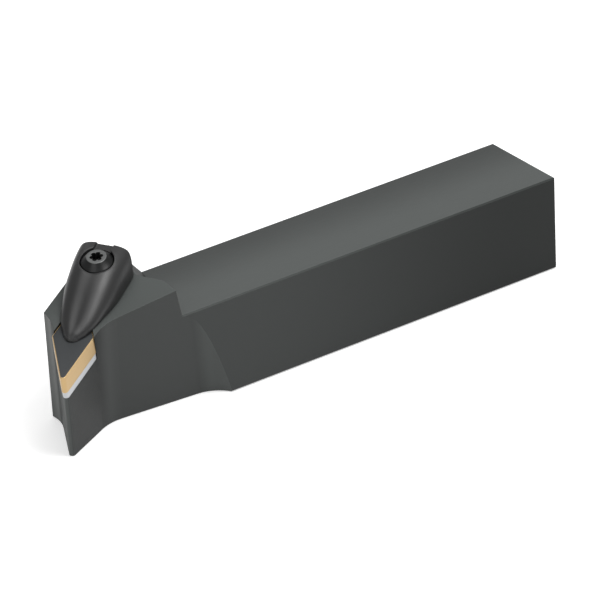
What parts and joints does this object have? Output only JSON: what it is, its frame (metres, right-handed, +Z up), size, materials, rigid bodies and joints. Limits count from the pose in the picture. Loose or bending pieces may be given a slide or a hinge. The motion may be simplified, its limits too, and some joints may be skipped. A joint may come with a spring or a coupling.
{
  "type": "turning tool holder",
  "caption": "Square-shank turning tool holder whose raised, angled head carries a slim rhombic cutting insert under a screw-down top clamp.",
  "frame": {"origin": "on the shank's base, half way across it and 50 mm from its rear face", "axes": "+X along the shank to the cutting end, +Y to the side on which the cutting nose stands out, +Z up from the base"},
  "size_m": [0.15, 0.032, 0.0423],
  "materials": {
    "holder_steel": "satin, dark grey chemically treated steel",
    "shim_carbide": "ground, pale grey",
    "insert_coating": "gold coating on the flanks, near-black coating on the top face",
    "clamp_steel": "satin, dark grey",
    "screw_steel": "blackened, satin",
    "spring_steel": "drawn wire, bright"
  },
  "bodies": {
    "holder": {"holder_body": "holder_steel", "shim": "shim_carbide", "shim_screw": "screw_steel", "insert": "insert_coating", "clamp_spring": "spring_steel"},
    "top_clamp": {"clamp": "clamp_steel"},
    "screw": {"clamp_screw": "screw_steel"}
  },
  "joints": [
    {"name": "clamp_lift", "type": "slide", "parent": "holder", "child": "top_clamp", "axis": [0.18, 0.18, 0.967], "range_m": [0, 0.004], "deforming": ["clamp_spring"]},
    {"name": "clamp_screw_turn", "type": "hinge", "parent": "top_clamp", "child": "screw", "pos_m": [0.07554, -0.00024, 0.03294], "axis": [0.18, 0.18, 0.967], "range_deg": [0, 1800]}
  ],
  "couplings": [
    {"joint": "clamp_screw_turn", "follows": "clamp_lift", "rad_per_m": 7854}
  ]
}
